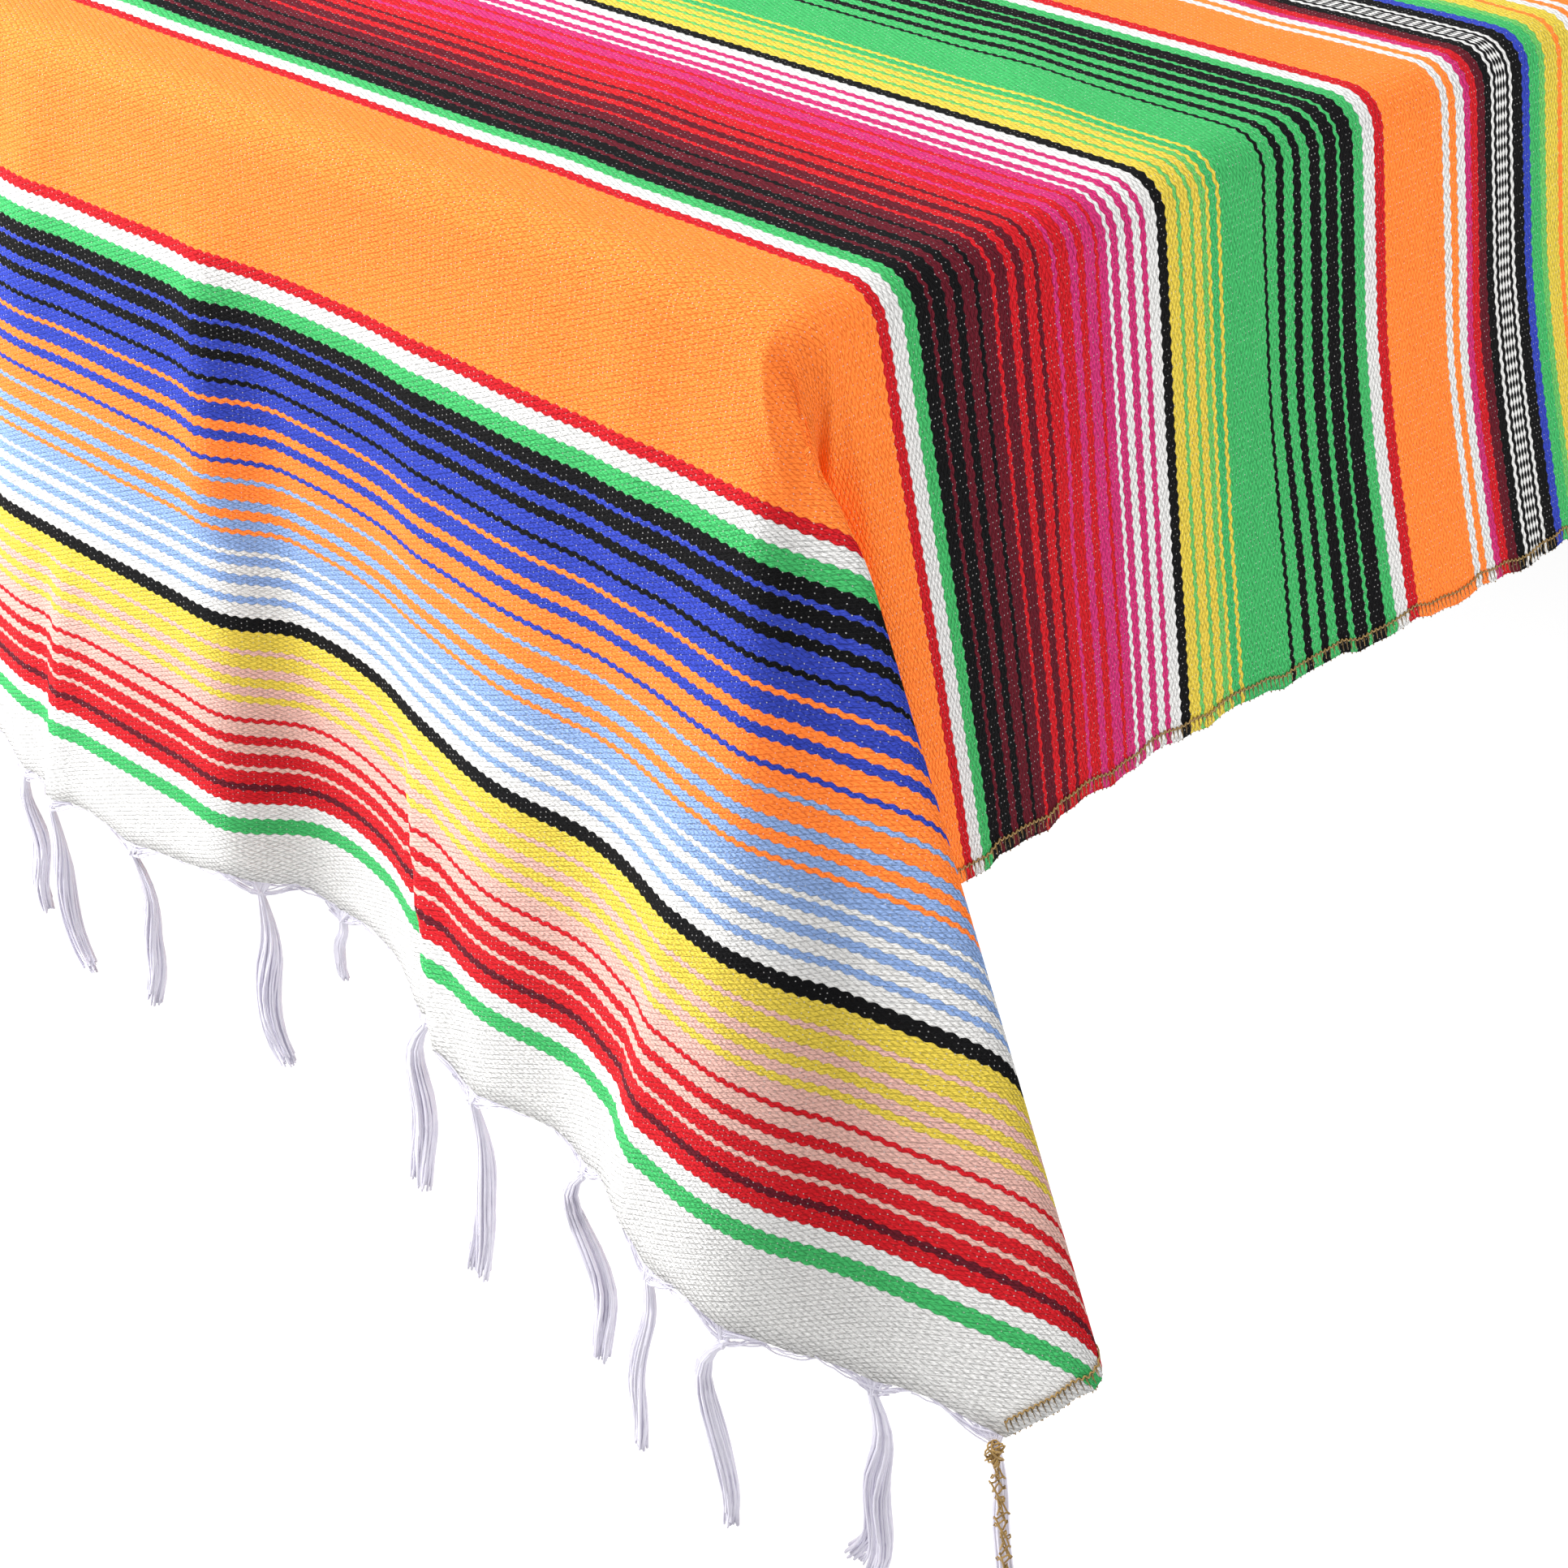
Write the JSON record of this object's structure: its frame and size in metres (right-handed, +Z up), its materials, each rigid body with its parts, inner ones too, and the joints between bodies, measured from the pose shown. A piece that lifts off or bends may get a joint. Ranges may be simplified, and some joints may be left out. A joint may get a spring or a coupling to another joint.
{
  "type": "mexican serape",
  "caption": "Striped serape blanket with knotted white fringe on both ends, draped over a rectangular top with folded ears at its corners.",
  "frame": {"origin": "middle of the underside of the flat top, where a table-like top holds the cloth", "axes": "+X across the stripes towards the far fringed end, +Y along the stripes towards the far serged side, +Z up"},
  "size_m": [1.3538, 1.3744, 0.6339],
  "materials": {
    "striped_weave": "matt",
    "white_fringe": "matt"
  },
  "bodies": {
    "root": {"serape_panel": "striped_weave", "fringe_near_end": "white_fringe", "fringe_far_end": "white_fringe"}
  },
  "joints": []
}
